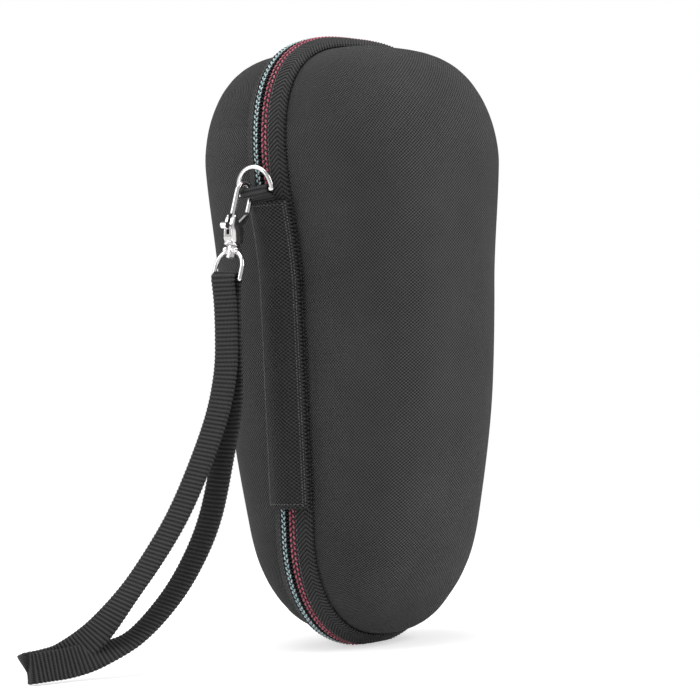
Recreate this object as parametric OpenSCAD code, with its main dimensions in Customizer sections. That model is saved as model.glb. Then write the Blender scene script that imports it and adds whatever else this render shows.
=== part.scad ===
// Hard shell travel case for an electric shaver, with a zipper all round,
// a fabric hinge strip on its spine and a wrist strap on a swivel hook.
// Millimetres. Z up along the case, X across it with the spine at -X,
// Y through its thickness with the lid at -Y and the back half at +Y.

/* [Case outline] */
// Height of the closed case along its zipper
case_h = 210; // [195:1:225]
// Half width of the zipper line at the waist
waist_half = 43.9; // [41:0.1:47]
// Narrowing of the half width from the waist down to the round end
foot_taper = 1.6; // [0:0.1:3]
// Widening of the half width from the waist up to the head
head_swell = 6.5; // [3:0.1:8]
// Height where the head starts to widen
head_from = 122; // [116:1:128]
// Height where the head is widest
head_full = 172; // [165:1:180]
// Height of the round lower end
foot_cap = 42.3; // [38:0.1:48]
// Height of the flatter upper end
head_cap = 45; // [40:0.1:50]

/* [Shells] */
// Depth of each half at the head, from the seam plane
shell_deep = 44; // [40:0.1:48]
// Depth of each half at the lower end
foot_deep = 27; // [24:0.1:30]
// Height where the depth starts to grow
foot_low = 15; // [10:0.5:20]
// Loss of depth towards the top of the head
head_drop = 7.7; // [5:0.1:10]
// Thickness of the moulded foam wall
wall_t = 3.5; // [2.5:0.1:4.5]
// Thickness of the inner lining
lining_t = 1.2; // [0.8:0.1:1.6]
// Step from the zipper line in to the moulded wall
groove_in = 4.5; // [4.2:0.1:5.2]

/* [Zipper band] */
// Half width of the whole zipper band
band_half = 8; // [7.5:0.1:9]
// Fall of the crowned band at its outer edge
band_drop = 3.4; // [2.8:0.1:3.8]
// Thickness of the tapes
tape_t = 1.2; // [0.8:0.1:1.4]
// Half width of the closed coil chain
coil_half = 1.6; // [1.4:0.05:1.8]
// Thickness of the coil chain
coil_t = 2.2; // [1.8:0.1:2.4]
// Depth of the coil chain below the crown of the band
coil_in = 0.3; // [0.2:0.1:0.5]
// Half width of the hinge strip on the spine
strip_half = 8.3; // [7.5:0.1:8.6]
// Thickness of the hinge strip
strip_t = 1.2; // [0.8:0.1:1.5]
// Lower end of the hinge strip
strip_low = 49; // [45:1:55]
// Upper end of the hinge strip
strip_high = 151.5; // [149:0.5:152]

/* [Sliders] */
// Height of the upper slider
slider_up = 100; // [97:1:101]
// Spacing of the two sliders, with room for the upper pull to hang
slider_pitch = 24; // [23:0.5:26]
// Length of a slider
slider_l = 9.5; // [8.5:0.1:10]
// Width of a slider
slider_w = 8.4; // [7.6:0.1:9]
// Length of a pull tab
pull_l = 17; // [12:0.5:17.5]
// Width of a pull tab
pull_w = 4.6; // [4:0.1:6]

/* [Ring, hook and strap] */
// Height of the ring's bar on the spine
ring_z = 154.5; // [153.5:0.5:156]
// Distance of the ring's bar outside the band
ring_off = 3.9; // [3.4:0.1:4.2]
// Mean radius of the ring's arc
ring_r = 6.9; // [6.8:0.05:7.4]
// Radius of the ring's wire
ring_wire = 0.8; // [0.7:0.05:0.85]
// Mean radius of the hook's eye
hook_r = 3.4; // [3.35:0.05:3.7]
// Radius of the hook's wire
hook_wire = 0.9; // [0.8:0.05:0.95]
// Distance from the hook's eye down to the swivel ring's bar
hook_l = 29.1; // [28.5:0.1:31]
// Mean radius of the swivel ring's arc
swivel_r = 5.95; // [5.9:0.05:6.3]
// Width of the strap webbing
strap_w = 10; // [8:0.1:10.2]
// Thickness of the strap webbing
strap_t = 1.4; // [1:0.1:1.45]

/* [Inside] */
// Width of the elastic band that holds the shaver
elastic_w = 25; // [15:1:35]
// Thickness of the elastic band and of the net pocket
elastic_t = 1; // [0.6:0.1:1.2]
// Upper edge of the net pocket in the lid
pocket_top = 118; // [90:1:130]
// Lower edge of the net pocket
pocket_low = 22; // [20:1:30]

/* [Hidden] */

$fn = 32;
// Clearance between layers that lie on each other
lay_gap = 0.15;
// Radial clearance of a shaft in its bore
run_gap = 0.07;
// Flat cut into the band where the case stands
foot_flat = 1;
// Points round the zipper line, and half of them
ring_n = 56;
half_n = ring_n / 2;
// Exponents of the outline's two ends and of its point spacing
foot_round = 2.2;
head_round = 2.8;
spacing = 0.8;
// Exponents of a shell's section at the head and at the foot
head_square = 2.9;
foot_square = 2.4;
square_low = 30;
square_high = 90;
// How fast the depth grows from the foot
deep_rise = 2.8;
// Height of the top of the head's depth fall
head_top = 204;
// Where the shell wall starts beside the band
wall_y = band_half + 0.4;
// Ends of the line that the shell's rings close on
ridge_low = 43;
ridge_high = 178;
// Steps of a shell's section, in degrees from the rim
section_steps = [0, 7, 18, 32, 47, 62, 76, 86];
// Edge of the moulded rim under the tape
rim_y = 5.2;
tape_y = coil_half + lay_gap;
lining_in = groove_in + wall_t + lay_gap;
binding_t = 0.75;
binding_in = 5;
binding_edge = lining_in + lining_t + lay_gap;

function smooth(a, b, v) =
    let (t = min(max((v - a) / (b - a), 0), 1))
    t * t * (3 - 2 * t);
function unit(v) = v / norm(v);
function turn_x(a, v) = [v[0], v[1] * cos(a) - v[2] * sin(a), v[1] * sin(a) + v[2] * cos(a)];
function turn_y(a, v) = [v[0] * cos(a) + v[2] * sin(a), v[1], v[2] * cos(a) - v[0] * sin(a)];
function last(v) = v[len(v) - 1];

// Half width of the zipper line at a height on the uncut outline
function half_width(z) =
    let (low = min(max((foot_cap - z) / foot_cap, 0), 1),
        high = min(max((z - case_h + head_cap) / head_cap, 0), 1),
        rise = min(max((z - foot_cap) / (head_from - foot_cap), 0), 1),
        wide = waist_half - foot_taper * (1 - rise)
            + head_swell * smooth(head_from, head_full, z))
    wide * pow(1 - pow(low, foot_round), 1 / foot_round)
        * pow(1 - pow(high, head_round), 1 / head_round);

// Depth of a shell at a height
function deep(z) =
    let (full = case_h - head_cap,
        t = 1 - min(max((z - foot_low) / (full - foot_low), 0), 1))
    shell_deep - (shell_deep - foot_deep) * pow(t, deep_rise)
        - head_drop * smooth(full, head_top, z);

function squareness(z) =
    head_square + (foot_square - head_square) * (1 - smooth(square_low, square_high, z));

// Point of the zipper line: from the foot up the spine and down again
function line_at(j) =
    let (k = j % ring_n,
        up = k <= half_n,
        a = -90 + 180 * (up ? k : ring_n - k) / half_n,
        s = sin(a),
        z = case_h / 2 * (1 + sign(s) * pow(abs(s), spacing)))
    [(up ? -1 : 1) * half_width(z), z];

// Direction from the zipper line to the inside
function inward(j) =
    (j % half_n == 0) ? [0, j % ring_n == 0 ? 1 : -1]
    : let (t = unit(line_at(j + 0.25) - line_at(j + ring_n - 0.25)))
    [t[1], -t[0]];

function inset(j, d) = line_at(j) + d * inward(j);

// Point at a distance inside the zipper line, cut flat at the foot
function band_pt(j, d, y) =
    let (p = inset(j, d))
    [p[0], y, max(p[1] - foot_flat, 0)];

// Fall of the crowned band at a distance from the seam
function crown(y) = band_drop * pow(y / band_half, 2);

// Outermost X of the band at a height of the finished case
function crown_x(z) = half_width(z + foot_flat);

// Ring of a shell's section: t in degrees from the rim, d inside the line
function dome_ring(t, d, y_from, thin, side) =
    [for (j = [0 : ring_n - 1])
        let (p = inset(j, d),
            e = 2 / squareness(p[1]),
            out = pow(cos(t), e),
            up = pow(sin(t), e),
            mid = min(max(p[1], ridge_low), ridge_high),
            z = mid + (p[1] - mid) * out)
        [p[0] * out, side * (y_from + (deep(z) - thin - y_from) * up), z - foot_flat]];

function rim_ring(d, y, side) = [for (j = [0 : ring_n - 1]) band_pt(j, d, side * y)];

// Faces that close a ring across from its left to its right points
function cover(first, flip) =
    [for (i = [0 : half_n - 1])
        for (f = i == 0 ? [[0, 1, ring_n - 1]]
            : i == half_n - 1 ? [[i, i + 1, ring_n - i]]
            : [[i, i + 1, ring_n - i - 1], [i, ring_n - i - 1, ring_n - i]])
        let (g = [for (v = f) first + v])
        flip ? [g[2], g[1], g[0]] : g];

// Faces between two rings of n points
function belt(first, n, flip) =
    [for (i = [0 : n - 1])
        let (a = first + i, b = first + (i + 1) % n, c = b + n, d = a + n)
        for (f = [[a, b, c], [a, c, d]])
        flip ? [f[2], f[1], f[0]] : f];

// Closed solid from full rings, covered at its first and last ring
module full_rings(rings, flip) {
    count = len(rings);
    faces = concat(cover(0, !flip),
        [for (k = [0 : count - 2]) each belt(k * ring_n, ring_n, flip)],
        cover((count - 1) * ring_n, flip));
    polyhedron(points = [for (r = rings) each r], faces = faces, convexity = 8);
}

// Solid of sections that run on: closed in a loop, or capped at both ends
module run_sections(sections, loop, flip) {
    n = len(sections[0]);
    count = len(sections);
    body = [for (k = [0 : count - (loop ? 1 : 2)])
        for (i = [0 : n - 1])
            let (a = k * n + i, b = k * n + (i + 1) % n,
                next = ((k + 1) % count) * n,
                c = next + (i + 1) % n, d = next + i)
            for (f = [[a, b, c], [a, c, d]])
            flip ? [f[2], f[1], f[0]] : f];
    caps = loop ? [] : concat(
        [for (i = [1 : n - 2]) flip ? [0, i, i + 1] : [i + 1, i, 0]],
        [for (i = [1 : n - 2])
            let (e = (count - 1) * n)
            flip ? [e + i + 1, e + i, e] : [e, e + i, e + i + 1]]);
    polyhedron(points = [for (s = sections) each s], faces = concat(body, caps), convexity = 8);
}

// Moulded half with its rim bead under the tape
module shell(side) {
    bead = crown(rim_y) + tape_t + lay_gap;
    bead_mid = crown(band_half) + tape_t + lay_gap;
    outer = [for (i = [len(section_steps) - 1 : -1 : 0])
        dome_ring(section_steps[i], groove_in, wall_y, 0, side)];
    rim = [rim_ring(bead_mid, band_half - 0.3, side), rim_ring(bead, rim_y, side),
        rim_ring(groove_in + wall_t, rim_y, side)];
    inner = [for (t = section_steps)
        dome_ring(t, groove_in + wall_t, wall_y, wall_t, side)];
    full_rings(concat(outer, rim, inner), side < 0);
}

// Lining that follows the inside of a shell
module lining(side) {
    thin = wall_t + lay_gap;
    outer = [for (i = [len(section_steps) - 1 : -1 : 0])
        dome_ring(section_steps[i], lining_in, wall_y, thin, side)];
    rim = [rim_ring(lining_in, rim_y, side), rim_ring(lining_in + lining_t, rim_y, side)];
    inner = [for (t = section_steps)
        dome_ring(t, lining_in + lining_t, wall_y, thin + lining_t, side)];
    full_rings(concat(outer, rim, inner), side < 0);
}

// Tape that carries one half of the chain and covers the shell's rim
module tape(side) {
    steps = [for (i = [0 : 3]) tape_y + (band_half - tape_y) * i / 3];
    sections = [for (j = [0 : ring_n - 1])
        concat([for (y = steps) band_pt(j, crown(y), side * y)],
            [for (i = [3 : -1 : 0]) band_pt(j, crown(steps[i]) + tape_t, side * steps[i])])];
    run_sections(sections, true, side < 0);
}

// Half of the coil chain: its ends lie under the hinge strip
chain_from = 16.4;
chain_to = 66.7;
chain_steps = concat([chain_from], [for (j = [17 : 66]) j], [chain_to]);
// The chain stands parted between the two sliders
parted_low = slider_up - slider_pitch - slider_l / 2 - 3;
parted_high = slider_up + slider_l / 2 + 3;
parted_gap = 0.85;
closed_gap = 0.1;

module coil(side) {
    sections = [for (j = chain_steps)
        let (p = line_at(j),
            parted = p[0] > 0 && p[1] > parted_low && p[1] < parted_high,
            y = parted ? parted_gap : closed_gap)
        [band_pt(j, coil_in, side * y), band_pt(j, coil_in, side * coil_half),
            band_pt(j, coil_in + coil_t, side * coil_half), band_pt(j, coil_in + coil_t, side * y)]];
    run_sections(sections, false, side < 0);
}

// Woven tape over the raw edges of foam and lining, inside the case
module rim_binding(side) {
    y_out = rim_y - lay_gap;
    y_in = y_out - binding_t;
    sections = [for (j = [0 : ring_n - 1])
        [band_pt(j, binding_in, side * y_in), band_pt(j, binding_in, side * y_out),
            band_pt(j, binding_edge, side * y_out), band_pt(j, binding_edge, side * y_in)]];
    run_sections(sections, true, side < 0);
}

// Metal stops that close both ends of the chain
stop_l = 3;
module end_stop(j, dir) {
    p = inset(j, coil_in);
    t = unit(line_at(j + 0.25) - line_at(j - 0.25));
    tilt = atan2(t[0], t[1]);
    translate([p[0], 0, p[1] - foot_flat])
        rotate([0, tilt, 0])
        translate([0, -coil_half, dir > 0 ? closed_gap : -stop_l - closed_gap])
        cube([coil_t, 2 * coil_half, stop_l]);
}
module zipper_end_stops() {
    color("dimgray") {
        end_stop(chain_from, -1);
        end_stop(chain_to - ring_n, 1);
    }
}

// Fabric strip over the spine that carries the lid
strip_gap = 0.4;
module hinge_strip() {
    steps = [for (i = [-3 : 3]) strip_half * i / 3];
    count = 12;
    sections = [for (i = [0 : count])
        let (z = strip_low + (strip_high - strip_low) * i / count)
        concat([for (y = steps) [-crown_x(z) + crown(y) - strip_gap - strip_t, y, z]],
            [for (k = [6 : -1 : 0]) [-crown_x(z) + crown(steps[k]) - strip_gap, steps[k], z]])];
    color([0.13, 0.13, 0.14]) run_sections(sections, false, false);
}

// Frame of the ring: its bar's middle, leaning forward-up by bar_tilt
bar_tilt = 5;
ring_lean = 8;
ring_x = -(crown_x(ring_z) + ring_off);
ring_leg = 1.2;
tab_t = 0.9;
tab_bore = ring_wire + run_gap;
tab_r = tab_bore + tab_t;
tab_half = ring_r - ring_wire - 0.3;
tab_seat = 0.8;
module at_ring() {
    translate([ring_x, 0, ring_z]) rotate([-bar_tilt, 0, 0]) children();
}

// Webbing tab folded round the ring's bar and sewn into the strip's end
module ring_tab() {
    tail = ring_z - strip_high - tab_seat;
    foot_in = ring_off - lay_gap;
    beside = tab_half - (hook_y - hook_wire - 0.4);
    color([0.12, 0.12, 0.13])
        at_ring()
        rotate([90, 0, 0])
        translate([0, 0, -tab_half])
        difference() {
            union() {
                cylinder(r = tab_r, h = 2 * tab_half);
                translate([0, 0, beside]) linear_extrude(2 * tab_half - beside)
                    polygon([[0, -tab_r], [foot_in - 1.6, -tail], [foot_in - 0.2, -tail], [tab_r, 0]]);
            }
            translate([0, 0, -1]) cylinder(r = tab_bore, h = 2 * tab_half + 2);
        }
}

// D ring: arc, two legs and a bar of round wire, in the YZ plane
module wire_d(r, leg, wire) {
    translate([0, 0, leg])
        rotate([90, 0, 90])
        rotate_extrude(angle = 180)
        translate([r, 0]) circle(wire);
    for (s = [-1, 1]) {
        translate([0, s * r, 0]) cylinder(r = wire, h = leg);
        translate([0, s * r, 0]) sphere(wire);
    }
    translate([0, r, 0]) rotate([90, 0, 0]) cylinder(r = wire, h = 2 * r);
}
module d_ring() {
    color("silver") at_ring() rotate([0, -ring_lean, 0]) wire_d(ring_r, ring_leg, ring_wire);
}

// Frame of the hook: its eye hangs round the ring's bar
hook_y = 5.0;
hook_out = 15.6;
hook_side = 4.5;
module at_hook() {
    at_ring() translate([0, hook_y, 0]) rotate([bar_tilt + hook_side, hook_out, 0]) children();
}
finger_z = -5.6;
gate_top = -6.5;
pivot_x = -1.2;
pivot_z = -13.2;
cheek_y = 1.5;
slot_half = 0.62;
base_top = -10.6;
base_end = -18;
post_r = 0.9;
post_head = 1.6;
boss_r = 1.9;
boss_gap = 0.3;
boss_h = 2.4;
pin_r = 0.5;

// Body of the hook: eye, finger, slotted housing and swivel post
module hook_body() {
    boss_end = base_end - boss_gap - boss_h;
    color("silver") at_hook() difference() {
        union() {
            rotate([90, 0, 0]) rotate_extrude(angle = 180) translate([hook_r, 0]) circle(hook_wire);
            translate([-hook_r, 0, base_top]) cylinder(r = hook_wire, h = -base_top);
            translate([hook_r, 0, finger_z]) cylinder(r = hook_wire, h = -finger_z);
            rotate([90, 0, 0]) translate([0, 0, -cheek_y]) linear_extrude(2 * cheek_y)
                polygon([[-hook_r - 1, base_top + 1], [-hook_r + 1.2, base_top + 1.4],
                    [0.9, pivot_z + 1.4], [1.4, pivot_z - 0.4], [1.6, base_end],
                    [-2.6, base_end], [-3.4, pivot_z - 2.6], [-hook_r - 1.1, pivot_z + 1]]);
            translate([0, 0, boss_end - boss_gap - 1]) cylinder(r = post_r, h = 6);
            translate([0, 0, boss_end - boss_gap - 1]) cylinder(r = post_head, h = 1);
        }
        translate([-hook_r - 3, -slot_half, pivot_z - 1.8])
            cube([hook_r + 6, 2 * slot_half, base_top - pivot_z + 4.4]);
        translate([pivot_x, 5, pivot_z]) rotate([90, 0, 0]) cylinder(r = pin_r + 0.02, h = 10);
    }
}

// Gate with its thumb knob: it turns on the pin between the cheeks
module gate_lever() {
    thick = slot_half - 0.12;
    color("silver") at_hook() difference() {
        union() {
            rotate([90, 0, 0]) translate([0, 0, -thick]) linear_extrude(2 * thick)
                polygon([[pivot_x - 0.6, pivot_z - 1.1], [pivot_x + 0.9, pivot_z - 0.8],
                    [hook_r + 0.7, gate_top - 0.6], [hook_r + 0.5, gate_top],
                    [hook_r - 0.7, gate_top], [pivot_x - 0.2, pivot_z + 1.5],
                    [-hook_r - 2, pivot_z + 1.3], [-hook_r - 2, pivot_z + 0.1]]);
            translate([-hook_r - 2.4, 1.2, pivot_z + 0.7]) rotate([90, 0, 0]) cylinder(r = 1.1, h = 2.4);
        }
        translate([pivot_x, 5, pivot_z]) rotate([90, 0, 0]) cylinder(r = pin_r + run_gap, h = 10);
    }
}

module gate_pin() {
    color("gray") at_hook() translate([pivot_x, cheek_y + 0.1, pivot_z])
        rotate([90, 0, 0]) cylinder(r = pin_r, h = 2 * cheek_y + 0.2);
}

// Leaf spring behind the gate, in the floor of the slot
module gate_spring() {
    color("gray") at_hook() translate([-1.9, -0.4, pivot_z - 1.7]) cube([2.6, 0.8, 0.35]);
}

// Ring that turns on the hook's post and holds the strap
module swivel_ring() {
    boss_top = base_end - boss_gap;
    centre = boss_top - boss_h / 2 - swivel_r;
    leg = centre + hook_l;
    color("silver") at_hook() difference() {
        union() {
            translate([0, 0, -hook_l]) wire_d(swivel_r, leg, 0.75);
            translate([0, 0, boss_top - boss_h]) cylinder(r = boss_r, h = boss_h);
        }
        translate([0, 0, boss_top - boss_h - 1]) cylinder(r = post_r + run_gap, h = boss_h + 2);
    }
}

// Route of the strap: [out from the bar, aside, height]. It starts at the
// sewn overlap, turns round the bar, runs down to the ground and comes back
swivel_bar = [ring_x, 0, ring_z] + turn_x(-bar_tilt, [0, hook_y, 0]
    + turn_y(hook_out, turn_x(bar_tilt + hook_side, [0, 0, -hook_l])));
bar_dir = turn_x(-bar_tilt, turn_y(hook_out, turn_x(bar_tilt + hook_side, [0, 1, 0])));
wrap_dir = [-bar_dir[1], bar_dir[0]] / norm([bar_dir[0], bar_dir[1]]);
strap_dir = [-0.944, 0.331];
route_top = 126.1;
strap_route = [[-0.9, 0, 92], [-0.9, 0, 104], [-0.9, 0, 117], [-1.5, 0, 123.5],
    [-1.75, 0, 126.1], [-1.24, 0, 127.36], [0, 0, 127.9], [1.24, 0, 127.36],
    [1.75, 0, 126.1], [1.5, 0, 123.5],
    [0.9, 0, 117], [0.9, 0, 107], [1.7, 0, 97], [5, 0.1, 83], [11.5, 0.3, 67.5],
    [20.5, 0.5, 50.5], [30.5, 0.7, 36.5], [41.5, 0.8, 24], [52.5, 0.9, 13.5],
    [63, 0.9, 7.6], [70, 0.9, 6], [75, 0.9, 5.6], [76.6, 0, 5.5],
    [75, -0.9, 5.4], [69, -0.9, 5.6], [62, -1.1, 6], [53, -1.5, 7.6],
    [40, -1.7, 11.5], [27, -1.4, 22], [17, -1, 34.5], [9.5, -0.6, 49],
    [3.8, -0.2, 69], [0.2, 0, 83], [-0.9, 0, 91.6]];
// Direction of the webbing's width at the top and at its folded end
width_top = bar_dir;
width_end = [-0.314, 0.402, 0.86];
twist_from = 36;
twist_to = 66;

// Near the bar the loop stands square to it, and further down it leans aside
wrap_out = 2;
function strap_at(r) =
    let (near = min(max(r[0], -wrap_out), wrap_out), far = r[0] - near)
    [swivel_bar[0] + near * wrap_dir[0] + far * strap_dir[0] + r[1] * strap_dir[1],
        swivel_bar[1] + near * wrap_dir[1] + far * strap_dir[1] - r[1] * strap_dir[0],
        r[2] * swivel_bar[2] / route_top];
function between(a, b, c, d, t) =
    0.5 * (2 * b + (c - a) * t + (2 * a - 5 * b + 4 * c - d) * t * t
        + (3 * b - a - 3 * c + d) * t * t * t);
strap_count = len(strap_route);
function route_at(i) = strap_route[min(max(i, 0), strap_count - 1)];
strap_fine = concat([for (i = [0 : strap_count - 2]) for (k = [0, 0.5])
    between(route_at(i - 1), route_at(i), route_at(i + 1), route_at(i + 2), k)],
    [last(strap_route)]);

module wrist_strap() {
    n = len(strap_fine);
    edge = strap_w / 2 - 0.3;
    half_t = strap_t / 2;
    sections = [for (i = [0 : n - 1])
        let (p = strap_at(strap_fine[i]),
            a = strap_at(strap_fine[max(i - 1, 0)]),
            b = strap_at(strap_fine[min(i + 1, n - 1)]),
            t = unit(b - a),
            k = smooth(twist_from, twist_to, strap_fine[i][0]),
            w0 = width_top * (1 - k) + width_end * k,
            w = unit(w0 - (w0 * t) * t),
            u = cross(t, w))
        [for (q = [[-edge, -half_t], [edge, -half_t], [strap_w / 2, -half_t / 3], [strap_w / 2, half_t / 3],
            [edge, half_t], [-edge, half_t], [-strap_w / 2, half_t / 3], [-strap_w / 2, -half_t / 3]])
            p + q[0] * w + q[1] * u]];
    color([0.1, 0.1, 0.1]) run_sections(sections, false, true);
}

// Sliders: their path follows the band's slope on the opening side
slider_lean = atan((crown_x(slider_up) - crown_x(strip_low)) / (slider_up - strip_low));
plate_t = 1.1;
plate_out = 0.35;
plate_in = coil_in + coil_t + 0.3;
pull_x = 2.95;
bar_r = 0.55;
ear_t = 0.8;
ear_in = 1.3;
module at_slider(z) {
    translate([crown_x(z), 0, z]) rotate([0, slider_lean, 0]) children();
}
module plate(w, l, t, nose) {
    a = w / 2;
    b = l / 2;
    rotate([0, 90, 0]) linear_extrude(t)
        polygon([[nose * -b, -a * 0.55], [nose * -b, a * 0.55], [nose * (-b + 1.6), a],
            [nose * b * 0.5, a * 0.9], [nose * b, a * 0.5], [nose * b, -a * 0.5],
            [nose * b * 0.5, -a * 0.9], [nose * (-b + 1.6), -a]]);
}

// Slider body. mouth is 1 where the open chain enters from above
module slider(z, mouth) {
    wedge = slider_l / 2 - 1.6;
    color([0.2, 0.2, 0.21]) at_slider(z) {
        translate([plate_out, 0, 0]) plate(slider_w, slider_l, plate_t, mouth);
        translate([-plate_in - plate_t, 0, 0]) plate(slider_w - 0.6, slider_l, plate_t, mouth);
        translate([-plate_in - 0.1, -0.6, mouth > 0 ? wedge - 2 : -wedge - 0.6])
            cube([plate_in + plate_out + 0.2, 1.2, 2.6]);
        for (s = [-1, 1])
            translate([plate_out + plate_t - 0.1, s * (ear_in + ear_t / 2) - ear_t / 2, 0])
                rotate([90, 0, 0]) translate([0, 0, -ear_t]) linear_extrude(ear_t)
                polygon([[0, -1.9], [0, 1.9], [1.4, 1.3], [2.4, 0.7], [2.4, -0.7], [1.4, -1.3]]);
        translate([pull_x, ear_in + ear_t / 2, 0]) rotate([90, 0, 0])
            cylinder(r = bar_r, h = 2 * ear_in + ear_t);
    }
}

// Pull tab that hangs from the slider's bar
module pull_tab(z) {
    neck = 1.1;
    color([0.15, 0.15, 0.16]) at_slider(z) translate([pull_x, 0, 0])
        difference() {
            union() {
                translate([0, neck, 0]) rotate([90, 0, 0]) cylinder(r = 1.25, h = 2 * neck);
                translate([-0.6, -neck, -4]) cube([1.2, 2 * neck, 3.6]);
                translate([0.7, 0, 0]) rotate([0, -90, 0]) linear_extrude(1.4)
                    polygon([[-3.4, -neck], [-3.4, neck], [-4.6, pull_w / 2],
                        [-pull_l + 1.2, pull_w / 2], [-pull_l, pull_w / 2 - 1.2],
                        [-pull_l, 1.2 - pull_w / 2], [1.2 - pull_l, -pull_w / 2], [-4.6, -pull_w / 2]]);
            }
            translate([0, 5, 0]) rotate([90, 0, 0]) cylinder(r = bar_r + run_gap, h = 10);
        }
}

// Flat outline at a distance inside the zipper line, between two heights
module inner_outline(d, low, high) {
    intersection() {
        polygon([for (j = [0 : ring_n - 1]) inset(j, d) - [0, foot_flat]]);
        translate([-waist_half - head_swell, low]) square([2 * (waist_half + head_swell), high - low]);
    }
}
inner_edge = lining_in + lining_t + lay_gap;
retainer_z = 84;
module upright(y) {
    translate([0, y, 0]) rotate([90, 0, 0]) children();
}

module elastic_retainer() {
    color([0.16, 0.16, 0.17]) upright(wall_y + 0.4) linear_extrude(elastic_t)
        inner_outline(inner_edge, retainer_z - elastic_w / 2, retainer_z + elastic_w / 2);
}
hem_h = 6;
module net_pocket() {
    color([0.2, 0.2, 0.21]) upright(-rim_y - 1.2) linear_extrude(elastic_t)
        inner_outline(inner_edge, pocket_low, pocket_top - hem_h);
}
module pocket_hem() {
    color([0.12, 0.12, 0.12]) upright(-rim_y - 0.9) linear_extrude(elastic_t + 0.6)
        inner_outline(inner_edge, pocket_top - hem_h, pocket_top);
}

fabric_grey = [0.22, 0.22, 0.23];
tape_black = [0.1, 0.1, 0.1];
color(fabric_grey) shell(1);  // back_shell
color(fabric_grey) shell(-1);  // front_shell
color([0.15, 0.15, 0.16]) lining(1);  // back_lining
color([0.15, 0.15, 0.16]) lining(-1);  // front_lining
color(tape_black) rim_binding(1);  // back_rim_binding
color(tape_black) rim_binding(-1);  // front_rim_binding
color(tape_black) tape(1);  // back_zipper_tape
color(tape_black) tape(-1);  // front_zipper_tape
color([0.05, 0.05, 0.05]) coil(1);  // back_zipper_coil
color([0.05, 0.05, 0.05]) coil(-1);  // front_zipper_coil
zipper_end_stops();
hinge_strip();
ring_tab();
d_ring();
hook_body();
gate_lever();
gate_pin();
gate_spring();
swivel_ring();
wrist_strap();
slider(slider_up, -1);  // upper_slider
pull_tab(slider_up);  // upper_pull_tab
slider(slider_up - slider_pitch, 1);  // lower_slider
pull_tab(slider_up - slider_pitch);  // lower_pull_tab
elastic_retainer();
net_pocket();
pocket_hem();
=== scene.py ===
"""Looks of the zipped shaver case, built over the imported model."""
import math

import bmesh
import bpy
import numpy as np
from mathutils import Matrix, Vector


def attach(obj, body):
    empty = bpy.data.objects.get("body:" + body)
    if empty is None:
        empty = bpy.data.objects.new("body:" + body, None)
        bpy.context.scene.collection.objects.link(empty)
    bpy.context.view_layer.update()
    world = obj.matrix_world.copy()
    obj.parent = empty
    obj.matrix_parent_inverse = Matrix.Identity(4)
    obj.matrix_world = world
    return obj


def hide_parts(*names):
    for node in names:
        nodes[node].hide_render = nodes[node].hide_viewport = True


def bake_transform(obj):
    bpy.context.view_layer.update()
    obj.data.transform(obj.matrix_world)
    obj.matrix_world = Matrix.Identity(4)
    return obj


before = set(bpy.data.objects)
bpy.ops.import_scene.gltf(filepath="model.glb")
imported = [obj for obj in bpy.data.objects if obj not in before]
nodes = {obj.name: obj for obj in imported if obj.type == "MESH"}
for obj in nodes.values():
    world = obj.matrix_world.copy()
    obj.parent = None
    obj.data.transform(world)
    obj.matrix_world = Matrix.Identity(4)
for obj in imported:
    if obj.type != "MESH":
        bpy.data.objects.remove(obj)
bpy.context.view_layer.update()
MM = 0.001

# Camera at the photograph's angle
AZ = math.radians(52.0)
VIEW = Vector((math.sin(AZ), math.cos(AZ), 0.0))
RIGHT = Vector((math.cos(AZ), -math.sin(AZ), 0.0))
AIM = Vector((0.0, 0.0, 0.105))
DISTANCE = 0.85
SCALE = 0.3465 * MM
AIM_PX = (359.0, 338.3)
ROLL = math.radians(1.9)
SENSOR = 36.0
FRAME_PX = 700.0


def add_camera():
    data = bpy.data.cameras.new("camera")
    data.sensor_width = SENSOR
    data.lens = SENSOR * DISTANCE / (FRAME_PX * SCALE)
    data.shift_x = (FRAME_PX / 2 - AIM_PX[0]) / FRAME_PX
    data.shift_y = (AIM_PX[1] - FRAME_PX / 2) / FRAME_PX
    data.clip_start = 0.05
    data.clip_end = 20.0
    cam = bpy.data.objects.new("camera", data)
    bpy.context.scene.collection.objects.link(cam)
    up = Vector((0.0, 0.0, 1.0))
    turn = Matrix((RIGHT, up, -VIEW)).transposed().to_4x4()
    roll = Matrix.Rotation(-ROLL, 4, "Z")
    cam.matrix_world = Matrix.Translation(AIM - VIEW * DISTANCE) @ turn @ roll
    bpy.context.scene.camera = cam


add_camera()

# Form of the case, in millimetres, as in the part's source
CASE_H = 210.0
WAIST = 43.9
TAPER = 1.6
SWELL = 6.5
HEAD_FROM, HEAD_FULL = 122.0, 172.0
FOOT_CAP, FOOT_ROUND = 42.3, 2.2
HEAD_CAP, HEAD_ROUND = 45.0, 2.8
SHELL_DEEP, FOOT_DEEP, FOOT_LOW = 44.0, 27.0, 15.0
DEEP_RISE, HEAD_DROP, HEAD_TOP = 2.8, 7.7, 204.0
HEAD_SQUARE, FOOT_SQUARE = 2.9, 2.4
SQUARE_LOW, SQUARE_HIGH = 30.0, 90.0
RIDGE_LOW, RIDGE_HIGH = 43.0, 178.0
GROOVE_IN, WALL_T, LINING_T = 4.5, 3.5, 1.2
BAND_HALF, BAND_DROP, TAPE_T = 8.0, 3.4, 1.2
RIM_Y, WALL_Y = 5.2, 8.4
COIL_HALF, COIL_IN = 1.6, 0.3
PARTED = (68.0, 108.0)
LAY_GAP, FOOT_FLAT = 0.15, 1.0
TAPE_Y = COIL_HALF + LAY_GAP
STRIP_LOW, STRIP_HIGH, STRIP_HALF = 49.0, 151.5, 8.3
STRIP_GAP, STRIP_T = 0.4, 1.6
STRAP_RIB = 1.39


def unit(v):
    return v / np.linalg.norm(v, axis=-1, keepdims=True)


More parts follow.
